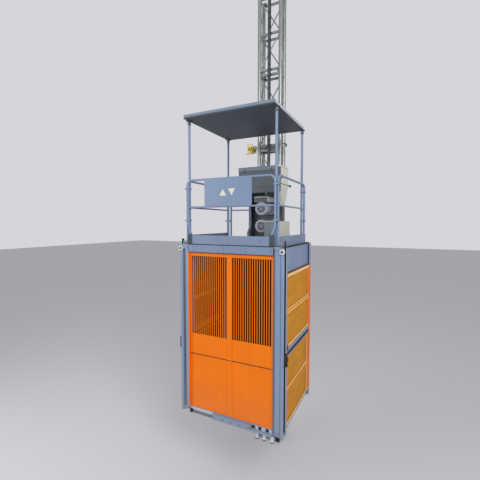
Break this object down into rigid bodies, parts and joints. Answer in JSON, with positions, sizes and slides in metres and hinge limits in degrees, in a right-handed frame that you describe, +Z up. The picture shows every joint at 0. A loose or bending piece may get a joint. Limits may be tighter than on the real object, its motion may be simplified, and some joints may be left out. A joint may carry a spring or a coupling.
{
  "type": "lift shaft hoist",
  "caption": "Rack-and-pinion hoist for a lift shaft: a car with slatted front, meshed sliding side doors, guarded roof and canopy climbs a lattice mast tied to the wall.",
  "frame": {"origin": "middle of the mast's foot bolt pattern, on the floor", "axes": "+X to the right seen from the car's front, +Y from the car towards the mast and the wall, +Z up"},
  "size_m": [1.951, 2.252, 9.1478],
  "materials": {
    "blue_paint": "satin",
    "plate_paint": "satin",
    "sign_paint": "satin",
    "canopy_paint": "satin",
    "orange_paint": "satin",
    "mesh_paint": "satin",
    "galvanised": "matt",
    "dark_steel": "oiled",
    "bright_steel": "turned",
    "roller_steel": "turned",
    "floor_sheet": "matt",
    "machine_grey": "satin",
    "hood_grey": "satin",
    "beige_paint": "satin",
    "black_plastic": "matt",
    "black_rubber": "matt",
    "grip_steel": "satin",
    "yellow_paint": "satin"
  },
  "bodies": {
    "mast": {"base_frame": "galvanised", "mast_sections": "galvanised", "racks": "dark_steel", "mast_bolts": "dark_steel", "wall_tie": "galvanised", "tie_couplers": "yellow_paint"},
    "car": {"front_column_left": "blue_paint", "front_column_right": "blue_paint", "rear_column_left": "blue_paint", "rear_column_right": "blue_paint", "front_sill": "blue_paint", "floor_frame": "blue_paint", "roof_edge_boards": "blue_paint", "guard_front": "blue_paint", "guard_left": "blue_paint", "guard_right": "blue_paint", "guard_rear": "blue_paint", "canopy_posts": "blue_paint", "door_headers": "blue_paint", "machine_plate": "plate_paint", "mast_side_frame": "plate_paint", "sign_panel": "sign_paint", "canopy": "canopy_paint", "front_panel_lower": "orange_paint", "front_panel_upper": "orange_paint", "rear_wall": "orange_paint", "sill_buffers": "bright_steel", "floor_plate": "floor_sheet", "roof_deck": "floor_sheet", "gearboxes": "machine_grey", "motors": "machine_grey", "fan_cowls": "machine_grey", "safety_device": "machine_grey", "machine_hood": "hood_grey", "control_cabinet": "beige_paint", "junction_box": "beige_paint", "door_locks": "black_plastic", "grip_bar": "grip_steel"},
    "pinion_lower": {"pinion_lower": "dark_steel"},
    "pinion_upper": {"pinion_upper": "dark_steel"},
    "pinion_safety": {"pinion_safety": "dark_steel"},
    "guide_roller_upper_left": {"guide_roller_upper_left": "roller_steel"},
    "guide_roller_upper_right": {"guide_roller_upper_right": "roller_steel"},
    "guide_roller_lower_left": {"guide_roller_lower_left": "roller_steel"},
    "guide_roller_lower_right": {"guide_roller_lower_right": "roller_steel"},
    "upper_leaf_left": {"upper_leaf_left": "orange_paint", "upper_mesh_left": "mesh_paint", "nosing_left": "black_rubber"},
    "lower_leaf_left": {"lower_leaf_left": "orange_paint", "lower_mesh_left": "mesh_paint"},
    "door_pulley_left": {"door_pulley_left": "bright_steel"},
    "lock_lever_left": {"lock_lever_left": "black_plastic"},
    "upper_leaf_right": {"upper_leaf_right": "orange_paint", "upper_mesh_right": "mesh_paint", "nosing_right": "black_rubber"},
    "lower_leaf_right": {"lower_leaf_right": "orange_paint", "lower_mesh_right": "mesh_paint"},
    "door_pulley_right": {"door_pulley_right": "bright_steel"},
    "lock_lever_right": {"lock_lever_right": "black_plastic"},
    "junction_door": {"junction_door": "machine_grey"}
  },
  "joints": [
    {"name": "car_travel", "type": "slide", "parent": "mast", "child": "car", "axis": [0, 0, 1], "range_m": [-0.25, 3.5]},
    {"name": "pinion_lower_turn", "type": "hinge", "parent": "car", "child": "pinion_lower", "pos_m": [0.094, -0.145, 4.538], "axis": [0, 1, 0], "continuous": true},
    {"name": "pinion_upper_turn", "type": "hinge", "parent": "car", "child": "pinion_upper", "pos_m": [0.094, -0.145, 4.865], "axis": [0, 1, 0], "continuous": true},
    {"name": "pinion_safety_turn", "type": "hinge", "parent": "car", "child": "pinion_safety", "pos_m": [0.094, -0.145, 5.192], "axis": [0, 1, 0], "continuous": true},
    {"name": "guide_roller_upper_left_turn", "type": "hinge", "parent": "car", "child": "guide_roller_upper_left", "pos_m": [-0.2983, -0.11, 5.449], "axis": [0, 1, 0], "continuous": true},
    {"name": "guide_roller_upper_right_turn", "type": "hinge", "parent": "car", "child": "guide_roller_upper_right", "pos_m": [0.2983, -0.11, 5.449], "axis": [0, 1, 0], "continuous": true},
    {"name": "guide_roller_lower_left_turn", "type": "hinge", "parent": "car", "child": "guide_roller_lower_left", "pos_m": [-0.2983, -0.11, 1.57], "axis": [0, 1, 0], "continuous": true},
    {"name": "guide_roller_lower_right_turn", "type": "hinge", "parent": "car", "child": "guide_roller_lower_right", "pos_m": [0.2983, -0.11, 1.57], "axis": [0, 1, 0], "continuous": true},
    {"name": "left_door_upper", "type": "slide", "parent": "car", "child": "upper_leaf_left", "axis": [0, 0, 1], "range_m": [0, 1.165]},
    {"name": "left_door_lower", "type": "slide", "parent": "car", "child": "lower_leaf_left", "axis": [0, 0, -1], "range_m": [0, 1.165]},
    {"name": "left_pulley_turn", "type": "hinge", "parent": "car", "child": "door_pulley_left", "pos_m": [-0.903, -1.91, 4.173], "axis": [0, 1, 0], "continuous": true},
    {"name": "left_lever_turn", "type": "hinge", "parent": "car", "child": "lock_lever_left", "pos_m": [-0.953, -1.835, 2.583], "axis": [1, 0, 0], "range_deg": [-35, 35]},
    {"name": "right_door_upper", "type": "slide", "parent": "car", "child": "upper_leaf_right", "axis": [0, 0, 1], "range_m": [0, 1.165]},
    {"name": "right_door_lower", "type": "slide", "parent": "car", "child": "lower_leaf_right", "axis": [0, 0, -1], "range_m": [0, 1.165]},
    {"name": "right_pulley_turn", "type": "hinge", "parent": "car", "child": "door_pulley_right", "pos_m": [0.903, -1.91, 4.173], "axis": [0, 1, 0], "continuous": true},
    {"name": "right_lever_turn", "type": "hinge", "parent": "car", "child": "lock_lever_right", "pos_m": [0.953, -1.835, 2.583], "axis": [1, 0, 0], "range_deg": [-35, 35]},
    {"name": "junction_door_turn", "type": "hinge", "parent": "car", "child": "junction_door", "pos_m": [0.333, -1.193, 4.4315], "axis": [0, 0, -1], "range_deg": [0, 110]}
  ],
  "couplings": [
    {"joint": "pinion_lower_turn", "follows": "car_travel", "rad_per_m": -13.889},
    {"joint": "pinion_upper_turn", "follows": "car_travel", "rad_per_m": -13.889},
    {"joint": "pinion_safety_turn", "follows": "car_travel", "rad_per_m": -13.889},
    {"joint": "guide_roller_upper_left_turn", "follows": "car_travel", "rad_per_m": 28.571},
    {"joint": "guide_roller_upper_right_turn", "follows": "car_travel", "rad_per_m": -28.571},
    {"joint": "guide_roller_lower_left_turn", "follows": "car_travel", "rad_per_m": 28.571},
    {"joint": "guide_roller_lower_right_turn", "follows": "car_travel", "rad_per_m": -28.571},
    {"joint": "left_door_lower", "follows": "left_door_upper", "ratio": 1},
    {"joint": "left_pulley_turn", "follows": "left_door_upper", "rad_per_m": -27.778},
    {"joint": "right_door_lower", "follows": "right_door_upper", "ratio": 1},
    {"joint": "right_pulley_turn", "follows": "right_door_upper", "rad_per_m": 27.778}
  ]
}
